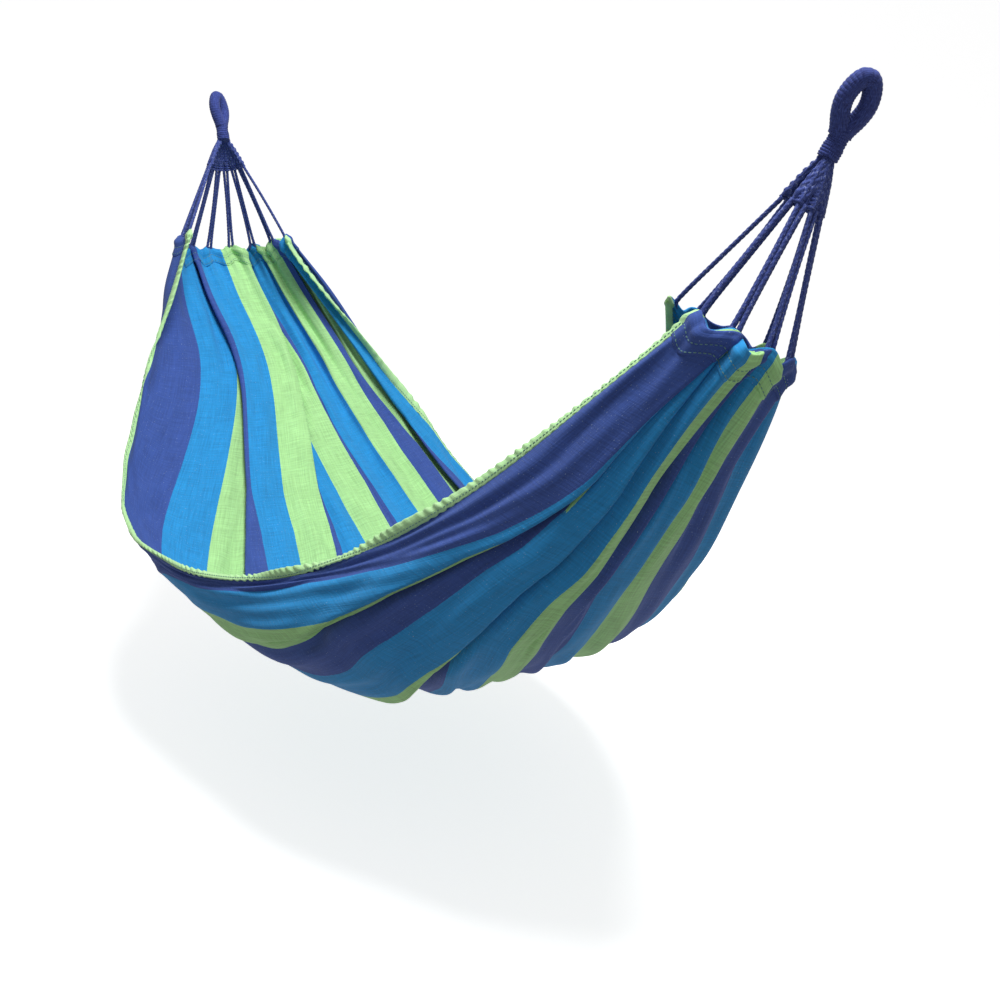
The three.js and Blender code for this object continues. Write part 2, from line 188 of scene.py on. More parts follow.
def cloth_material(name, colours, stops, slub=1.0):
    """Plain-woven cotton canvas, yarn dyed in lengthwise stripes. Its uneven yarn gives matt, slightly
    streaked colour. UV is in metres: x across the cloth, y along the thread."""
    made = bpy.data.materials.new(name)
    made.use_nodes = True
    tree = made.node_tree
    shader = tree.nodes["Principled BSDF"]
    place = add(tree, "ShaderNodeUVMap", uv_map="weave").outputs[0]
    # stripe borders wander by about one yarn
    yarns = {"Scale": 260.0, "Detail": 2.0}
    ragged = add(tree, "ShaderNodeTexNoise", yarns, {"Vector": place}).outputs["Fac"]
    wander = add(tree, "ShaderNodeMath", {1: 0.5, 2: 0.0}, {0: ragged}, operation="SUBTRACT").outputs[0]
    across = add(tree, "ShaderNodeSeparateXYZ", links={0: place}).outputs[0]
    shifted = add(
        tree, "ShaderNodeMath", {1: 1.6 * MM}, {0: wander, 2: across}, operation="MULTIPLY_ADD"
    ).outputs[0]
    share = add(tree, "ShaderNodeMath", {1: CANVAS_WIDTH}, {0: shifted}, operation="DIVIDE").outputs[0]
    ramp = add(tree, "ShaderNodeValToRGB", links={0: share})
    ramp.color_ramp.interpolation = "CONSTANT"
    points = ramp.color_ramp.elements
    while len(points) < len(stops):
        points.new(0.5)
    for point, stop, colour in zip(points, stops, colours):
        point.position = stop / CANVAS_WIDTH
        point.color = linear(colour)
    # warp and weft streaks; the yarns are about 1 mm, drawn 2.5 mm wide so that they show
    warp_place = add(tree, "ShaderNodeMapping", {"Scale": (400, 16, 1)}, {"Vector": place}).outputs[0]
    fine = {"Scale": 1.0, "Detail": 3.0}
    warp = add(tree, "ShaderNodeTexNoise", fine, {"Vector": warp_place}).outputs["Fac"]
    weft_place = add(tree, "ShaderNodeMapping", {"Scale": (22, 400, 1)}, {"Vector": place}).outputs[0]
    weft = add(tree, "ShaderNodeTexNoise", fine, {"Vector": weft_place}).outputs["Fac"]
    both = add(tree, "ShaderNodeMath", links={0: warp, 1: weft}, operation="ADD").outputs[0]
    # soft clouding of the dye, a hand's breadth across
    cloud = add(tree, "ShaderNodeTexNoise", {"Scale": 14.0, "Detail": 3.0}, {"Vector": place}).outputs["Fac"]
    uneven = add(tree, "ShaderNodeMath", {1: 0.35}, {0: cloud, 2: both}, operation="MULTIPLY_ADD").outputs[0]
    value = add(
        tree, "ShaderNodeMapRange",
        {"From Min": 0.75, "From Max": 1.65, "To Min": 1 - 0.2 * slub, "To Max": 1 + 0.2 * slub},
        {"Value": uneven},
    ).outputs[0]
    dyed = add(tree, "ShaderNodeHueSaturation", links={"Value": value, "Color": ramp.outputs[0]})
    # pale neps: short cotton fibres that took less dye
    nep = add(tree, "ShaderNodeTexNoise", {"Scale": 420.0, "Detail": 1.0}, {"Vector": place}).outputs["Fac"]
    fleck = add(
        tree, "ShaderNodeMapRange", {"From Min": 0.68, "From Max": 0.78, "To Max": 0.35}, {"Value": nep}
    ).outputs[0]
    colour = add(
        tree, "ShaderNodeMix", {7: linear("C9DCE6")}, {0: fleck, 6: dyed.outputs[0]}, data_type="RGBA"
    )
    tree.links.new(colour.outputs[2], shader.inputs["Base Color"])
    bump = add(tree, "ShaderNodeBump", {"Strength": 0.55, "Distance": 0.9 * MM}, {"Height": both})
    tree.links.new(bump.outputs[0], shader.inputs["Normal"])
    shader.inputs["Roughness"].default_value = 0.92
    shader.inputs["IOR"].default_value = 1.47
    shader.inputs["Specular IOR Level"].default_value = 0.3
    shader.inputs["Sheen Weight"].default_value = 0.06
    shader.inputs["Sheen Roughness"].default_value = 0.6
    return made


def cord_material(name, dark, light, fleck_share):
    """Twisted cotton cord: dull, with paler fibres standing off the strands. UV is in metres: x round
    the cord, y along it."""
    made = bpy.data.materials.new(name)
    made.use_nodes = True
    tree = made.node_tree
    shader = tree.nodes["Principled BSDF"]
    place = add(tree, "ShaderNodeUVMap", uv_map="weave").outputs[0]
    # yarns of about 1 mm, slanting with the twist
    slant = add(
        tree, "ShaderNodeMapping", {"Scale": (900, 160, 1), "Rotation": (0, 0, 0.6)}, {"Vector": place}
    ).outputs[0]
    yarn = add(tree, "ShaderNodeTexNoise", {"Scale": 1.0, "Detail": 2.0}, {"Vector": slant}).outputs["Fac"]
    fibre = add(tree, "ShaderNodeTexNoise", {"Scale": 320.0, "Detail": 3.0}, {"Vector": place}).outputs["Fac"]
    ramp = add(tree, "ShaderNodeValToRGB", links={0: yarn})
    ramp.color_ramp.elements[0].position = 0.35
    ramp.color_ramp.elements[0].color = linear(dark)
    ramp.color_ramp.elements[1].position = 0.7
    ramp.color_ramp.elements[1].color = linear(light)
    fleck = add(
        tree, "ShaderNodeMapRange",
        {"From Min": 0.72 - fleck_share, "From Max": 0.8 - fleck_share, "To Max": 0.5}, {"Value": fibre},
    ).outputs[0]
    colour = add(
        tree, "ShaderNodeMix", {7: linear("A9B4DC")}, {0: fleck, 6: ramp.outputs[0]}, data_type="RGBA"
    )
    tree.links.new(colour.outputs[2], shader.inputs["Base Color"])
    bump = add(tree, "ShaderNodeBump", {"Strength": 0.6, "Distance": 0.7 * MM}, {"Height": yarn})
    tree.links.new(bump.outputs[0], shader.inputs["Normal"])
    shader.inputs["Roughness"].default_value = 0.88
    shader.inputs["IOR"].default_value = 1.47
    shader.inputs["Specular IOR Level"].default_value = 0.3
    shader.inputs["Sheen Weight"].default_value = 0.08
    return made


# the hem's lime is paler than the stripes' lime: a painted highlight for the hems along the lit rims
NAVY, AZURE, LIME, HEM_LIME_PAINTED_HIGHLIGHT = "38539C", "248ECF", "A8DC94", "B8E6A6"
SEAM_AT = 0.8 * HEM_WIDTH  # where the hem's own cloth ends and the stripes begin


def stripe_stops():
    """The colours across the canvas, and where each one starts."""
    # the hem's paler lime at both edges of the canvas is a painted highlight
    colours, stops = [HEM_LIME_PAINTED_HIGHLIGHT], [0.0]
    for k in range(STRIPES):
        colours.append((NAVY, AZURE, LIME)[k % 3])
        stops.append(SEAM_AT if k == 0 else EDGE_STRIPE + (k - 1) * STRIPE)
    colours.append(HEM_LIME_PAINTED_HIGHLIGHT)
    stops.append(CANVAS_WIDTH - SEAM_AT)
    return colours, stops


# slubby canvas: matt, with streaks and pale neps in every stripe
CANVAS = cloth_material("striped_cotton_canvas", *stripe_stops(), slub=1.4)
# the same cloth rolled and sewn, in a paler lime than the stripes: a painted highlight for the hems along the
# rims, which face the light
HEM = cloth_material("lime_cotton_hem_painted_highlight", [HEM_LIME_PAINTED_HIGHLIGHT, HEM_LIME_PAINTED_HIGHLIGHT], [0.0, 0.5], slub=0.8)
# soft-laid cotton: a dull royal blue with paler fibres on the strands; the serving is wound tighter
COTTON_CORD = cord_material("twisted_cotton_cord", "283472", "4E60AC", 0.14)
SERVING_CORD = cord_material("cotton_serving_cord", "262F6C", "4557A4", 0.05)
# cotton sewing thread: thin dashes, lighter than the cloth under them
THREAD = cord_material("sewing_thread", "4C7C88", "94BCA4", 0.0)


# ------------------------------------------------------------------ meshes
def grid_mesh(name, points, uv, material, closed=False, capped=False):
    """A mesh from rows of points. closed joins each row's last point to its first, capped fills the
    first and last rows."""
    rows, columns = points.shape[:2]
    count = columns if closed else columns - 1
    i, j = np.meshgrid(np.arange(rows - 1), np.arange(count), indexing="ij")
    nxt = (j + 1) % columns
    faces = np.stack([i * columns + j, i * columns + nxt, (i + 1) * columns + nxt, (i + 1) * columns + j], -1)
    faces = faces.reshape(-1, 4).tolist()
    corner_uv = np.stack([uv[i, j], uv[i, j + 1], uv[i + 1, j + 1], uv[i + 1, j]], 2).reshape(-1, 2)
    if capped:
        faces.append(list(range(columns))[::-1])
        faces.append([(rows - 1) * columns + k for k in range(columns)])
        corner_uv = np.concatenate([corner_uv, uv[0, :columns][::-1], uv[-1, :columns]])
    mesh = bpy.data.meshes.new(name)
    mesh.from_pydata(points.reshape(-1, 3).tolist(), [], faces)
    layer = mesh.uv_layers.new(name="weave")
    layer.data.foreach_set("uv", np.ascontiguousarray(corner_uv, dtype=np.float32).ravel())
    mesh.polygons.foreach_set("use_smooth", np.ones(len(mesh.polygons), dtype=bool))
    mesh.materials.append(material)
    mesh.update()
    made = bpy.data.objects.new(name, mesh)
    bpy.context.scene.collection.objects.link(made)
    return made


def joined(name, pieces):
    """One object from several, in the order given."""
    for other in bpy.context.selected_objects:
        other.select_set(False)
    for piece in pieces:
        piece.select_set(True)
    bpy.context.view_layer.objects.active = pieces[0]
    bpy.ops.object.join()
    pieces[0].name = name
    pieces[0].data.name = name
    return pieces[0]


def along(points, step):
    """Points at even steps along a polyline, with the distance of each."""
    run = np.concatenate([[0], np.cumsum(np.linalg.norm(np.diff(points, axis=0), axis=1))])
    count = max(2, int(round(run[-1] / step)) + 1)
    want = np.linspace(0, run[-1], count)
    return np.stack([np.interp(want, run, points[:, k]) for k in range(3)], 1), want


def smooth_line(points, rounds=2):
    """Corner cutting, which keeps the ends."""
    for _ in range(rounds):
        a, b = points[:-1], points[1:]
        cut = np.stack([a * 0.75 + b * 0.25, a * 0.25 + b * 0.75], 1).reshape(-1, 3)
        points = np.concatenate([points[:1], cut, points[-1:]])
    return points


def carried_frames(path):
    """Side vectors carried along a path without spinning about it."""
    way = np.gradient(path, axis=0)
    way /= np.linalg.norm(way, axis=1, keepdims=True)
    side = np.cross(way[0], [0.3, 0.5, 0.8])
    side /= np.linalg.norm(side)
    sides = []
    for w in way:
        side = side - w * (side @ w)
        side /= np.linalg.norm(side)
        sides.append(side)
    sides = np.array(sides)
    return sides, np.cross(way, sides)


def rope(name, points, radius, material, step, around, relief):
    """A tube along points whose radius at each place is radius * relief(angle, distance)."""
    path, run = along(points, step)
    a, b = carried_frames(path)
    angle = np.linspace(0, 2 * np.pi, around + 1)
    r = radius * relief(angle[None], run[:, None])
    ring = a[:, None] * np.cos(angle)[None, :, None] + b[:, None] * np.sin(angle)[None, :, None]
    skin = path[:, None] + ring * r[..., None]
    uv = np.stack(np.broadcast_arrays(angle[None] * radius, run[:, None]), -1)
    return grid_mesh(name, skin[:, :-1], uv, material, closed=True, capped=True)


def three_strands(angle, run):
    return 0.84 + 0.19 * np.abs(np.cos(1.5 * (angle - 2 * np.pi * run / CORD_LAY)))


def wrapped(pitch, depth):
    def relief(angle, run):
        phase = (run / pitch + angle / (2 * np.pi)) % 1
        return 1 - depth + depth * np.sqrt(np.clip(1 - (2 * phase - 1) ** 2, 0, 1))

    return relief


# ------------------------------------------------------------------ the cloth
# Each pleat is a flat fold that runs in from one end and opens out before the other: which of its two
# creases shows (at the lower or the higher stripe), whether the cloth beyond it lies on the lap side
# (1) or on the floor side (-1), and its knots. A knot is a place along the hammock (-1 to 1), the stripe
# of the crease that shows, and the stripes of cloth hidden in the fold.
PLEATS = [
    ("high", 1, [(-1, 3.8, 2.3), (-0.77, 3.9, 1.9), (-0.57, 3.9, 1.25), (-0.46, 3.6, 0.8), (-0.1, 3.0, 0)]),
    ("low", -1, [(-1, 5.9, 3.5), (-0.77, 6.0, 2.5), (-0.55, 6.1, 1.3), (-0.37, 6.3, 0.8), (-0.1, 6.5, 0)]),
    ("low", -1, [(-1, 9.4, 0.5), (-0.7, 9.1, 0.8), (-0.4, 9.2, 0.6), (-0.1, 9.3, 0)]),
    ("high", 1, [(-1, 11.0, 0.3), (-0.6, 11.0, 0.2), (-0.2, 11.0, 0)]),
    ("low", -1, [(-1, 12.4, 1.9), (-0.8, 12.4, 1.7), (-0.6, 12.9, 1.5), (-0.4, 12.9, 1.3), (-0.05, 12.9, 0)]),
    ("high", 1, [(-1, 16.1, 1.5), (-0.67, 16.1, 1.5), (-0.46, 15.6, 1.0), (-0.1, 15.2, 0)]),
    ("low", 1, [(0.1, 2.8, 0), (0.35, 2.4, 0.4), (0.5, 2.0, 0.6), (0.7, 1.3, 1.15), (1, 0.95, 1.6)]),
    ("low", 1, [(0.25, 2.9, 0), (0.35, 2.8, 0.2), (0.6, 2.55, 0.8), (0.8, 2.5, 1.45), (1, 2.55, 1.65)]),
    ("low", 1, [(0, 5.4, 0), (0.43, 5.2, 0.7), (0.6, 5.0, 1.15), (0.8, 4.7, 1.35), (1, 4.15, 1.7)]),
    ("low", 1, [(0.1, 5.9, 0), (0.43, 5.9, 0.6), (0.6, 6.15, 1.15), (0.9, 5.9, 1.5), (1, 5.85, 1.6)]),
    ("low", 1, [(0.4, 8.6, 0), (0.6, 8.55, 0.2), (0.8, 8.5, 0.4), (1, 8.4, 0.8)]),
    ("low", 1, [(0.55, 9.5, 0), (0.72, 9.5, 0.3), (0.86, 9.5, 0.7), (1, 9.4, 1.4)]),
    ("low", 1, [(0.78, 11.6, 0), (0.88, 11.5, 0.3), (1, 11.4, 0.8)]),
    ("low", 1, [(0.6, 13.6, 0), (0.85, 13.6, 0.5), (1, 13.6, 0.9)]),
]
ROWS, COLUMNS = 241, 401
FOLD_ANGLE = math.radians(172)
FOLD_TURN = 0.17  # stripes of cloth in the bend of a fold
FOLD_REACH = 1.5  # stripes over which a fold's step dies out


def ease(x):
    x = np.clip(x, 0, 1)
    return x * x * (3 - 2 * x)


def stripe_at(w):
    return np.where(w < EDGE_STRIPE, w / EDGE_STRIPE, 1 + (w - EDGE_STRIPE) / STRIPE)


def running_sum(f, step):
    return np.concatenate([np.zeros((len(f), 1)), np.cumsum((f[:, 1:] + f[:, :-1]) / 2 * step, 1)], 1)


def pleat_angles(q, t, depth):
    """For each pleat: where its bends lie on each row, and the slope of the cloth that it makes."""
    found = []
    for side, step, knots in PLEATS:
        places, edges, widths = zip(*knots)
        edge, hidden = np.interp(t, places, edges), np.interp(t, places, widths) * depth
        low = edge if side == "low" else edge - hidden / 2
        high = edge + hidden / 2 if side == "low" else edge
        bend = ease((q - low[:, None]) / FOLD_TURN + 0.5) - ease((q - high[:, None]) / FOLD_TURN + 0.5)
        found.append((low, high, step * FOLD_ANGLE * ease(hidden / 0.45)[:, None] * bend))
    return found


# share of the near edge's width that shows: it curls under its hem, most at the right of the middle
NEAR_EDGE = ((-0.25, -0.04, 0.28, 0.49, 0.59, 0.75, 0.85, 1), (1, 0.5, 0.25, 0.22, 0.34, 0.66, 0.74, 0.7))


def wave_slopes(q, t, size):
    """Slope of the soft waves between the pleats for a size of wave on each row, fine at the end hems
    and broad in the middle, and the share of the cloth's width that shows on it."""
    left, right, t, size = (1 + t)[:, None], (1 - t)[:, None], t[:, None], size[:, None]
    inner = (1 - np.exp(-((left / 0.3) ** 2))) * (1 - np.exp(-((right / 0.3) ** 2)))
    waves, total = 0, 0
    for amount, steepest, count, phase, drift in (
        (np.exp(-((left / 0.07) ** 1.5)), 1.0, 2.1, 0.1, 0.12),
        (np.exp(-((right / 0.07) ** 1.5)), 1.0, 2.0, 0.4, 0.12),
        (0.8 * np.exp(-(((left - 0.12) / 0.13) ** 2)), 0.8, 1.55, 0.3, 0.12),
        (0.8 * np.exp(-(((right - 0.12) / 0.13) ** 2)), 0.8, 1.5, 0.8, 0.12),
        (inner, 0.34, 1.1, 0.25, 0.16),
    ):
        wave = np.sin(2 * np.pi * (count * q + phase + drift * np.sin(1.3 * q + phase * 5)))
        waves = waves + amount * np.minimum(size, steepest) * wave
        total = total + amount * size
    # the near edge hangs taut over most of its run
    calm = 1 - ease((2.6 - q) / 1.2) * ease((t + 0.95) / 0.3) * ease((0.95 - t) / 0.2)
    # more slack towards the far side on the left, and between the sides on the right
    lean = 1 + 0.35 * np.tanh((q - 8.5) / 4) * np.tanh(2 * np.maximum(-t, 0))
    between = 0.5 * ease((q - 5) / 2) * ease((13 - q) / 2.5)
    lean += np.tanh(2 * np.maximum(t, 0)) * (between - 0.35 * ease((q - 11) / 3))
    curl = (1 - np.interp(t, *NEAR_EDGE)) * ease((1.15 - q) / 0.3)
    steep = np.minimum(total * calm * lean, 2.2)
    shown = (1 - steep**2 / 4 + steep**4 / 64) * (1 - curl)
    return waves * calm * np.minimum(lean, 1.2) + 1.1 * curl * np.sin(6 * np.pi * q), shown


def solve(width_at, high):
    """For each row, the largest value up to high that leaves the row at least as wide as it must be."""
    low, high = np.zeros(ROWS), np.full(ROWS, float(high))
    for _ in range(18):
        middle = (low + high) / 2
        wide = width_at(middle)
        low, high = np.where(wide, middle, low), np.where(wide, high, middle)
    return (low + high) / 2


SPREAD = 0.9  # how closely the rows crowd towards the ends
SLOT_HOLD, SLOT_WIDTH, SLOT_REACH = 0.7, 11 * MM, 45 * MM  # how firmly and how far a cord holds the cloth
CREASES, CREASE_DEPTH = 46, 9 * MM
CREASE_FREE = 0.15  # share of the run at each end where the gathers leave no room for creases
SAG, DRAWN_UP, SCALLOP_REACH = 9 * MM, 14 * MM, 40 * MM


def hanging_rows(t):
    """The smooth hanging shape as rows from rim to rim, and the distance from the near rim."""
    v = np.linspace(-1, 1, 301)
    base = thread_point(t[:, None], v[None])
    spans = np.linalg.norm(np.diff(base, axis=1), axis=2)
    return base, np.concatenate([np.zeros((ROWS, 1)), np.cumsum(spans, 1)], 1), v


def fold_rows(t, w, length):
    """Folds and waves that fit the width of the canvas into each row. Gives the place of the cloth
    across the row and its offset from the smooth shape."""
    q, dw = stripe_at(w)[None], w[1]

    def spacing(depth, size):
        """Width of the row taken by each width of cloth."""
        return np.cos(sum(p[2] for p in pleat_angles(q, t, depth))) * wave_slopes(q, t, size)[1]

    def too_wide(depth, size):
        return running_sum(spacing(depth, size), dw)[:, -1] > length

    depth = np.minimum(solve(lambda m: too_wide(m, np.full(ROWS, 0.25)), 1.3), 1)
    size = solve(lambda m: too_wide(depth, m), 1.9)
    blur = np.exp(-np.linspace(-2, 2, 11) ** 2)
    blur /= blur.sum()
    depth, size = (np.convolve(np.pad(y, 5, mode="edge"), blur, mode="valid") for y in (depth, size))
    pleats = pleat_angles(q, t, depth)
    folded = sum(p[2] for p in pleats)
    s = running_sum(spacing(depth, size), dw)
    s *= (length / s[:, -1])[:, None]
    # layers of the folds lie on each other, and the step of each dies out on both sides
    layers = running_sum(np.sin(folded), dw)
    rolling = running_sum(np.sin(folded + wave_slopes(q, t, size)[0]), dw) - layers
    for low, high, bent in pleats:
        rise = running_sum(np.sin(bent), dw)[:, -1:]
        before = ease((q - low[:, None]) / FOLD_REACH + 1)
        after = ease((q - high[:, None]) / FOLD_REACH)
        layers -= rise * (before + after) / 2
    return s, layers + levelled(rolling, s / length[:, None])


def levelled(rolling, share):
    """The waves about the smooth hanging shape, with layers that lie on each other waving together."""
    bins = np.linspace(0, 1, 241)
    broad = np.exp(-(((bins[:, None] - bins[None]) * 11) ** 2))
    level = []
    for wave, place in zip(rolling, share):
        near = np.exp(-(((place[None] - bins[:, None]) * 90) ** 2))
        local = near @ wave / near.sum(1)
        level.append(np.interp(place, bins, local - broad @ local / broad.sum(1)))
    return np.stack(level)


def held_at_slots(off, s, slot_s, run):
    """The cords pull the cloth back to the smooth shape where they hold the end hems."""
    for away in (run, run[-1] - run):
        held = np.zeros_like(off)
        for k in range(CORDS + 1):
            near = np.exp(-(((s - slot_s[:, k : k + 1]) / SLOT_WIDTH) ** 2))
            held = np.maximum(held, near * np.exp(-away / SLOT_REACH)[:, None])
        off = off * (1 - SLOT_HOLD * held)
    return off


def creases(w, run):
    """Small creases of handled cloth, running mostly with the thread."""
    noise = np.random.default_rng(7)
    w, along_run = w[None], run[:, None]
    crease = 0
    for _ in range(CREASES):
        across, lengthwise = noise.uniform(9, 34), noise.normal(0, 4.0)
        phase, strength = noise.uniform(0, 6.28), noise.uniform(0.2, 1) / across
        bend = noise.uniform(0, 0.5) * np.sin(noise.uniform(1, 4) * along_run + phase)
        turns = across * (w + 0.1 * bend) + lengthwise * along_run
        crease = crease + strength * np.sin(2 * np.pi * turns + phase)
    patch = 0.5 + 0.5 * np.sin(5.1 * w + 2.3 * along_run + 0.6) * np.sin(3.7 * along_run - 4 * w)
    free = CREASE_FREE * run[-1]
    inside = ease(run / free) * ease((run[-1] - run) / free)
    return CREASE_DEPTH * crease * (0.25 + 0.75 * patch) * (0.12 + 0.88 * inside[:, None])


def placed(base, arc, s, off):
    """The cloth's points, from their place across the hanging shape and their offset from it."""
    normal = np.cross(np.gradient(base, axis=0), np.gradient(base, axis=1))
    normal /= np.linalg.norm(normal, axis=2, keepdims=True)
    points = np.zeros((ROWS, COLUMNS, 3))
    out = np.zeros_like(points)
    for i in range(ROWS):
        for k in range(3):
            points[i, :, k] = np.interp(s[i], arc[i], base[i, :, k])
            out[i, :, k] = np.interp(s[i], arc[i], normal[i, :, k])
        # cloth past a rim runs straight on
        for over, way in (
            (np.minimum(s[i], 0), base[i, 1] - base[i, 0]),
            (np.maximum(s[i] - arc[i, -1], 0), base[i, -1] - base[i, -2]),
        ):
            points[i] += over[:, None] * way / np.linalg.norm(way)
    return points + out / np.linalg.norm(out, axis=2, keepdims=True) * off[..., None]


def scalloped(points, s, slot_s, run):
    """Between the cords the edge of the cloth sags away from the neck; at a cord it is drawn up."""
    forward = np.gradient(points, axis=0)
    forward /= np.linalg.norm(forward, axis=2, keepdims=True)
    gap = np.min(np.abs(s[..., None] - slot_s[:, None, :]), -1)
    half = (slot_s[:, -1] - slot_s[:, 0])[:, None] / CORDS / 2
    sag = SAG - DRAWN_UP * (1 - ease(gap / half))
    for away, sign in ((run, 1), (run[-1] - run, -1)):
        points = points + forward * (sign * sag * np.exp(-away / SCALLOP_REACH)[:, None])[..., None]
    return points


def shape_cloth():
    rows = np.linspace(-1, 1, ROWS)
    t = np.sin(np.pi / 2 * SPREAD * rows) / np.sin(np.pi / 2 * SPREAD)
    w = np.linspace(0, CANVAS_WIDTH, COLUMNS)
    base, arc, v = hanging_rows(t)
    s, off = fold_rows(t, w, arc[:, -1])
    thread_run = np.linalg.norm(np.diff(base[:, len(v) // 2], axis=0), axis=1)
    run = np.concatenate([[0], np.cumsum(thread_run)])
    slots = [slot_place(k) for k in range(CORDS + 1)]
    slot_s = np.stack([np.interp(slots, v, row) for row in arc])
    off = held_at_slots(off, s, slot_s, run) + creases(w, run)
    points = scalloped(placed(base, arc, s, off), s, slot_s, run)
    uv = np.stack(np.broadcast_arrays(w[None], (run / run[-1] * CANVAS_LENGTH)[:, None]), -1)
    return points, uv, s, slot_s, w


cloth_points, cloth_uv, cloth_s, slot_s, cloth_w = shape_cloth()
cloth = grid_mesh("cloth", cloth_points, cloth_uv, CANVAS)


# ------------------------------------------------------------------ hems
SEAM_UP, SEAM_OUT = 5 * MM, 2.6 * MM  # seam of a side hem, from the middle of the hem
HEM_STEP = 2.4 * MM


def smoothed(values, width):
    kernel = np.exp(-np.linspace(-2, 2, 2 * width + 1) ** 2)
    kernel /= kernel.sum()
    padded = np.concatenate([np.repeat(values[:1], width, 0), values, np.repeat(values[-1:], width, 0)])
    return np.stack([np.convolve(padded[:, k], kernel, mode="valid") for k in range(values.shape[1])], 1)


def unit(vectors):
    return vectors / np.linalg.norm(vectors, axis=-1, keepdims=True)


def settled(piece, body, slot, *nodes):
    """The piece moves with the body and stands for the nodes, which it hides. The slot is not used."""
    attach(piece, body)
    if nodes:
        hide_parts(*nodes)
    return piece


def stitches(name, line, outward, slot):
    """A row of thread dashes on a line, standing a little off it. Each is a rounded rod of four
    rings of six points."""
    run = np.concatenate([[0], np.cumsum(np.linalg.norm(np.diff(line, axis=0), axis=1))])
    starts = np.arange(STITCH_PITCH, run[-1] - STITCH_PITCH, STITCH_PITCH)
    verts, faces, corner = [], [], np.linspace(0, 2 * np.pi, 6, endpoint=False)
    size = STITCH_THICK * np.array([0.4, 1, 1, 0.4])
    lift = STITCH_THICK * np.array([-0.5, 0.4, 0.4, -0.5])
    for n, start in enumerate(starts):
        where = start + STITCH_LENGTH * np.array([0, 0.18, 0.82, 1])
        spine = np.stack([np.interp(where, run, line[:, k]) for k in range(3)], 1)
        up = unit(np.stack([np.interp(where, run, outward[:, k]) for k in range(3)], 1))
        side = unit(np.cross(unit(spine[-1] - spine[0])[None], up))
        ring = np.cos(corner)[None, :, None] * side[:, None] + np.sin(corner)[None, :, None] * up[:, None]
        verts.append((spine + up * lift[:, None])[:, None] + ring * size[:, None, None])
        base = 24 * n
        for first in range(base, base + 18, 6):
            for j in range(6):
                k = (j + 1) % 6
                faces.append([first + j, first + k, first + 6 + k, first + 6 + j])
        faces += [[base + j for j in range(6)][::-1], [base + 18 + j for j in range(6)]]
    mesh = bpy.data.meshes.new(name)
    mesh.from_pydata(np.concatenate([v.reshape(-1, 3) for v in verts]).tolist(), [], faces)
    layer = mesh.uv_layers.new(name="weave")
    rng = np.random.default_rng(3)
    layer.data.foreach_set("uv", rng.uniform(0, 0.01, 2 * len(layer.data)).astype(np.float32))
    mesh.materials.append(THREAD)
    made = bpy.data.objects.new(name, mesh)
    bpy.context.scene.collection.objects.link(made)
    return settled(made, "bed", slot)


def side_hem(name, node, column, step):
    """A rolled side hem: the edge turned twice and sewn, which puckers it along its seam."""
    centre = cloth_points[:, column + step]
    across = unit(smoothed(cloth_points[:, column + 5 * step] - cloth_points[:, column], 3))
    line, run = along(centre, HEM_STEP)
    old = np.concatenate([[0], np.cumsum(np.linalg.norm(np.diff(centre, axis=0), axis=1))])
    wide = unit(np.stack([np.interp(run, old, across[:, k]) for k in range(3)], 1))
    thick = unit(np.cross(unit(np.gradient(line, axis=0)), wide))
    angle = np.linspace(0, 2 * np.pi, 21)
    rng = np.random.default_rng(column + 11)
    pucker = 0
    for _ in range(5):
        strength, wave, phase = rng.uniform(0.5, 1), rng.uniform(9, 26), rng.uniform(0, 6.28)
        pucker = pucker + strength * np.sin(2 * np.pi * run / wave / MM + phase)
    pucker = pucker[:, None]
    c, s = np.cos(angle)[None], np.sin(angle)[None]
    # full at the outer fold, and pinched along the seam near its inner side
    body = (3.4 - 1.1 * ease((c - 0.2) / 0.5) + 0.9 * ease((c - 0.75) / 0.25)) * MM
    puffed = body * (1 + 0.16 * pucker * (0.3 + 0.7 * np.abs(s)))
    reach = HEM_WIDTH / 2 + 0.5 * MM * pucker
    skin = line[:, None] + wide[:, None] * (reach * c)[..., None] + thick[:, None] * (puffed * s)[..., None]
    skin += thick[:, None] * (0.5 * MM * pucker * c)[..., None]
    uv = np.stack(np.broadcast_arrays(0.01 * angle[None], run[:, None]), -1)
    settled(grid_mesh(name, skin[:, :-1], uv, HEM, closed=True, capped=True), "bed", "green_hem", node)
    for face, label in ((thick, "inner"), (-thick, "outer")):
        stitches(f"{name}_{label}_stitches", line + wide * SEAM_UP + face * SEAM_OUT, face, "green_hem")


HEM_PROFILE = [  # towards the neck from the tunnel's middle, half thickness, mm
    (12, 0.7), (11, 1.7), (8, 2.6), (5, 3.9), (2.5, 5.0), (0, 5.6), (-3, 5.2), (-6.5, 3.9), (-10, 2.2),
    (-13, 1.6), (-29, 1.7), (-30.5, 0.9),
]
END_SEAMS = (("tunnel", -11.5 * MM), ("edge", -26 * MM))
END_SEAM_OUT = 1.9 * MM


def end_hem(name, node, row, step):
    """The doubled end of the canvas, sewn down below the tunnel that the cords run through."""
    line = cloth_points[row]
    neckward = unit(smoothed(cloth_points[row] - cloth_points[row + 6 * step], 2))
    across = unit(np.gradient(line, axis=0))
    thick = unit(np.cross(neckward, across))
    profile = np.array(HEM_PROFILE) * MM
    loop = np.concatenate([profile, profile[::-1] * [1, -1]])
    skin = line[:, None] + neckward[:, None] * loop[None, :, :1] + thick[:, None] * loop[None, :, 1:]
    place = loop[:, 0][None] * (-step) + (0 if row == 0 else CANVAS_LENGTH)
    place = np.concatenate([place, place[:, :1]], 1)
    uv = np.stack(np.broadcast_arrays(cloth_w[:, None], place), -1)
    settled(grid_mesh(name, skin, uv, CANVAS, closed=True, capped=True), "bed", "end_hem_canvas", node)
    for face, label in ((thick, "inner"), (-thick, "outer")):
        for seam, drop in END_SEAMS:
            seam_line = line + neckward * drop + face * END_SEAM_OUT
            stitches(f"{name}_{label}_{seam}_stitches", seam_line, face, "end_hem_canvas")


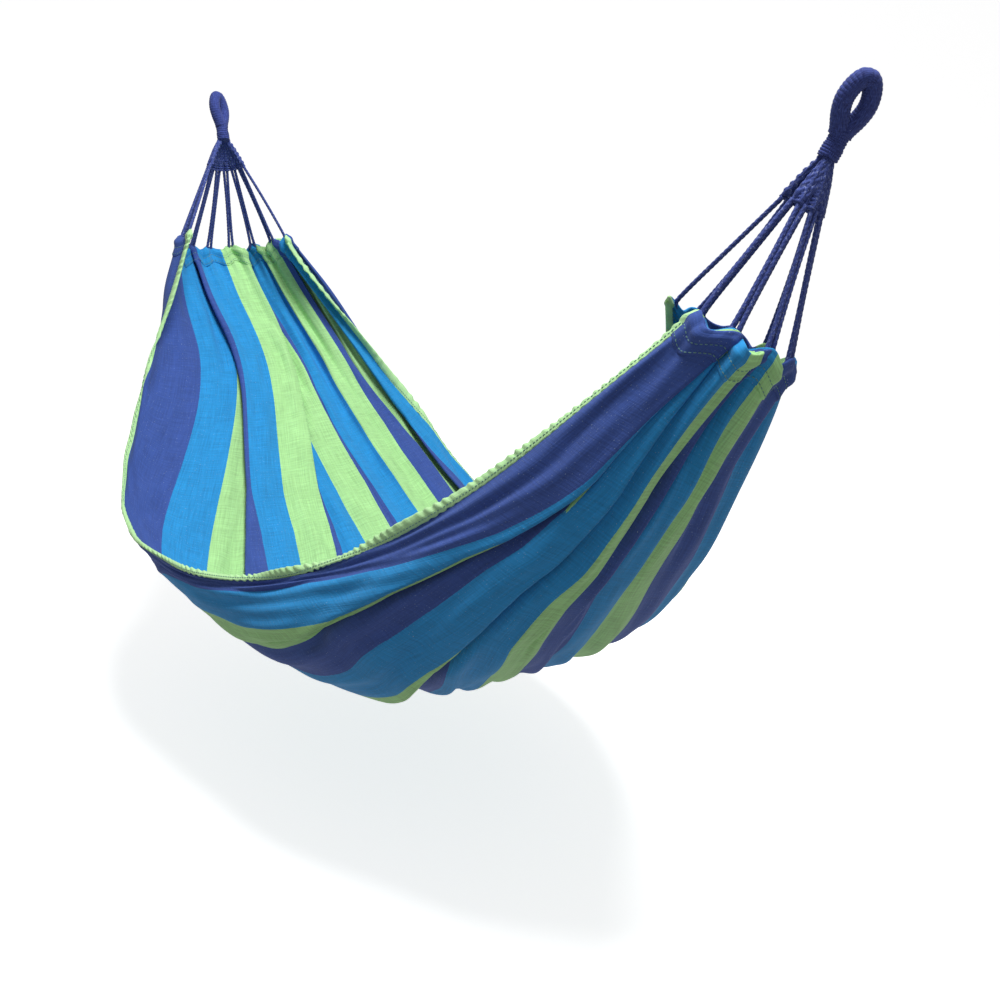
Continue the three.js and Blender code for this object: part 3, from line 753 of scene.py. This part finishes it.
settled(cloth, "bed", "striped_canvas", "cloth_left", "cloth_middle", "cloth_right")
side_hem("near_hem", "near_side_hem", 0, 1)
side_hem("far_hem", "far_side_hem", COLUMNS - 1, -1)
end_hem("left_hem", "left_end_hem", 0, 1)
end_hem("right_hem", "right_end_hem", ROWS - 1, -1)


# ------------------------------------------------------------------ cords, crowns, whippings and eyes
CROWN = 84 * MM  # neck to the lower edge of the crown
NECK_START = 8 * MM  # where the strands begin below the neck
PAIR = 3.6 * MM  # half the distance between the two cords of a slot
PLAIT_ROWS = np.arange(22, 84, 5) * MM
PLAIT_LIFT = 4.3 * MM  # how far the woven cord rises over a strand
WEFT_RADIUS = 2.6 * MM
WHIP_RADIUS, BINDING_RADIUS = 12.8 * MM, 12 * MM


def toward_neck(end, v, far):
    """A point of the crown, whose strands draw together near the neck."""
    bundle = np.asarray(1 - 0.35 * ease((50 * MM - far) / (45 * MM)))
    centre = neck_of(end) + fan_frame(end)[0] * np.asarray(far)[..., None]
    return centre + (fan_point(end, v, far) - centre) * bundle[..., None]


def suspension_cords(label, row):
    """Each cord comes down to a slot, runs through the hem tunnel to the next and goes back up."""
    end = ENDS[label]
    neck = neck_of(end)
    share = 1 / (FAN * math.sin(math.radians(end["cone"])) * math.radians(end["spread"]))
    near, top = PAIR * share, FAN / (CROWN + 0.5 * MM) * share * PAIR
    line, s = cloth_points[row], cloth_s[row]
    calm = smoothed(line, 6)
    legs = []
    for k in range(CORDS):
        first, last = slot_place(k), slot_place(k + 1)
        a, b = (line[np.argmin(np.abs(s - slot_s[row, n]))] for n in (k, k + 1))
        down = [fan_point(end, first + top, CROWN - 2 * MM), fan_point(end, first + near, 0.6 * FAN)]
        rise = [fan_point(end, last - near, 0.6 * FAN), fan_point(end, last - top, CROWN - 2 * MM)]
        lateral = unit(b - a)
        enter = [a + lateral * PAIR + unit(neck - a) * CORD, a + lateral * 2.4 * PAIR]
        leave = [b - lateral * 2.4 * PAIR, b - lateral * PAIR + unit(neck - b) * CORD]
        # through the tunnel, the cord keeps to the middle of the gathered hem
        span = np.linspace(slot_s[row, k], slot_s[row, k + 1], 7)[1:-1]
        through = [calm[np.argmin(np.abs(s - x))] for x in span]
        route = smooth_line(np.array(down + enter + through + leave + rise))
        cord = rope(f"{label}_cord_{k + 1}_lay", route, CORD / 2, COTTON_CORD, 1.5 * MM, 15, three_strands)
        settled(cord, "bed", "cotton_cord", f"{label}_cord_{k + 1}")
        legs += [first + top, last - top]
    return legs


def crown_core(label, end):
    """The strands under the plait fill it, and end unevenly below it."""
    v = np.linspace(-LAST_SLOT, LAST_SLOT, 90)[None]
    step = np.linspace(0, 1, 70)[:, None]
    far = NECK_START + step * (CROWN - 2 * NECK_START + 9 * MM * np.sin(23 * v) * np.sin(9 * v + 1))
    v = np.broadcast_to(v, far.shape)
    strands_across = np.sin(2 * np.pi * CORDS * (v / LAST_SLOT + 1) * 0.5 + 0.8)
    weave = 1.1 * MM * np.sin(2 * np.pi * far / (10 * MM)) * strands_across
    half = (3.2 * MM * ease((1 - step) / 0.08) + 0.2 * MM) * ease((1.02 - np.abs(v / LAST_SLOT)) / 0.06)
    shell, out = toward_neck(end, v, far), fan_outward(end, v)
    outer, inner = shell + out * (half + weave)[..., None], shell - out * (half - weave)[..., None]
    skin = np.concatenate([outer, inner[:, ::-1]], 1)
    wide = np.cumsum(np.full(skin.shape[1] + 1, 1.4 * MM))
    uv = np.stack(np.broadcast_arrays(wide[None], far[:, :1]), -1)
    return grid_mesh(f"{label}_core", skin, uv, COTTON_CORD, closed=True, capped=True)


def crown(label, legs):
    """Every cord leg runs on to the neck, with a cord woven over and under them."""
    end = ENDS[label]
    far = np.linspace(CROWN, NECK_START, 12)
    strands = []
    for n, v in enumerate(legs):
        over = fan_outward(end, np.full(12, v)) * (1.6 * MM if n % 2 else -1.6 * MM)
        route = smooth_line(toward_neck(end, np.full(12, v), far) + over, 1)
        strands.append(rope(f"{label}_leg_{n}", route, CORD / 2, COTTON_CORD, 1.6 * MM, 12, three_strands))
    weft = []
    for n, far in enumerate(PLAIT_ROWS):
        sweep = sorted(legs, reverse=n % 2 == 1)
        for m, v in enumerate(sweep):
            lift = PLAIT_LIFT if (m + n) % 2 else -PLAIT_LIFT
            weft.append(toward_neck(end, v, far) + fan_outward(end, v) * lift)
    route = smooth_line(np.array(weft))
    strands.append(rope(f"{label}_weft", route, WEFT_RADIUS, COTTON_CORD, 1.5 * MM, 10, three_strands))
    strands.append(crown_core(label, end))
    settled(joined(f"{label}_crown_plait", strands), "bed", "plaited_rope", f"{label}_crown")


def whipping(label):
    """Cord wound round all the strands below the neck."""
    neck, axis = neck_of(ENDS[label]), fan_frame(ENDS[label])[0]
    ends = np.array([neck + axis * 6.5 * MM, neck + axis * 20.5 * MM])
    turns = wrapped(WHIPPING, 0.12)
    made = rope(f"{label}_whipping_turns", ends, WHIP_RADIUS, SERVING_CORD, 0.35 * MM, 48, turns)
    settled(made, "bed", "rope_whipping", f"{label}_whipping")


def eye_axes(end):
    """The way up the leaning eye, and the way across it."""
    lean = Vector((end["side"] * math.sin(EYE_LEAN), 0, math.cos(EYE_LEAN)))
    turn = math.radians(end["eye_turn"])
    wide = Vector((math.cos(turn), math.sin(turn), 0))
    return np.array(lean), np.array((wide - lean * wide.dot(lean)).normalized())


# half the outline of an eye's middle line: across from the neck and up the eye, mm
EYE_OUTLINE = [
    (3.5, 6), (3.5, 11), (6.5, 18), (12, 29), (15.5, 43), (13.5, 56), (9, 66), (4.5, 70.5), (2, 71),
]


def eye(label):
    """A closed bight of rope, served with cord from end to end."""
    lean, wide = eye_axes(ENDS[label])
    outline = EYE_OUTLINE + [(-u, h) for u, h in EYE_OUTLINE[::-1]]
    loop = np.array([neck_of(ENDS[label]) + wide * u * MM + lean * h * MM for u, h in outline])
    turns = wrapped(SERVING, 0.08)
    made = rope(
        f"{label}_eye_serving", smooth_line(loop, 3), EYE_ROPE / 2, SERVING_CORD, 0.55 * MM, 28, turns
    )
    settled(made, "eyes", "wrapped_rope", f"{label}_eye")


def neck_binding(label):
    """The binding where the eye meets the bed."""
    end = ENDS[label]
    neck, axis, lean = neck_of(end), fan_frame(end)[0], eye_axes(end)[0]
    bind = [neck + lean * 13 * MM, neck + lean * 3 * MM, neck + axis * 2 * MM, neck + axis * 9 * MM]
    made = rope(
        f"{label}_neck_binding", smooth_line(np.array(bind)), BINDING_RADIUS, SERVING_CORD, 0.4 * MM, 40,
        wrapped(WHIPPING, 0.12),
    )
    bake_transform(made)


for end_label, end_row in (("left", 0), ("right", ROWS - 1)):
    crown(end_label, suspension_cords(end_label, end_row))
    whipping(end_label)
    eye(end_label)
    neck_binding(end_label)


# ------------------------------------------------------------------ floor and light
def pale_floor():
    """A pale matt floor that curves up behind the hammock into a wall."""
    ahead = np.array([-math.sin(CAMERA_YAW), math.cos(CAMERA_YAW), 0])
    side = np.array([ahead[1], -ahead[0], 0])
    flat = [(-5, 0), (4.5, 0)]
    curve = [(4.5 + 2 * math.sin(a), 2 - 2 * math.cos(a)) for a in np.linspace(0.1, math.pi / 2, 16)]
    profile = np.array(flat + curve + [(6.5, 7)])
    across = np.linspace(-9, 9, 3)
    points = np.array([[ahead * p + side * a + [0, 0, -1.12 + h] for a in across] for p, h in profile])
    material = bpy.data.materials.new("pale_matt_floor")
    material.use_nodes = True
    shader = material.node_tree.nodes["Principled BSDF"]
    shader.inputs["Base Color"].default_value = linear("FFFFFF")
    shader.inputs["Roughness"].default_value = 0.9
    shader.inputs["Emission Color"].default_value = linear("FFFFFF")
    shader.inputs["Emission Strength"].default_value = 0.66
    floor = grid_mesh("floor", points, np.zeros((*points.shape[:2], 2)), material)
    floor.visible_diffuse = False  # the underside of the hammock hangs in shade
    return floor


def area_light(name, place, target, size, power, colour="FFFFFF"):
    data = bpy.data.lights.new(name, "AREA")
    data.shape = "DISK"
    data.size = size
    data.energy = power
    data.color = linear(colour)[:3]
    made = bpy.data.objects.new(name, data)
    bpy.context.scene.collection.objects.link(made)
    made.location = place
    made.rotation_euler = (Vector(target) - Vector(place)).to_track_quat("-Z", "Y").to_euler()
    return made


world = bpy.data.worlds.new("soft_room")
world.use_nodes = True
world.node_tree.nodes["Background"].inputs["Color"].default_value = linear("FFFFFF")
world.node_tree.nodes["Background"].inputs["Strength"].default_value = 0.3
bpy.context.scene.world = world
bpy.context.scene.view_settings.view_transform = "Standard"
pale_floor()
area_light("key", (0.5, -0.1, 2.0), (-0.1, 0, -0.6), 1.3, 82)
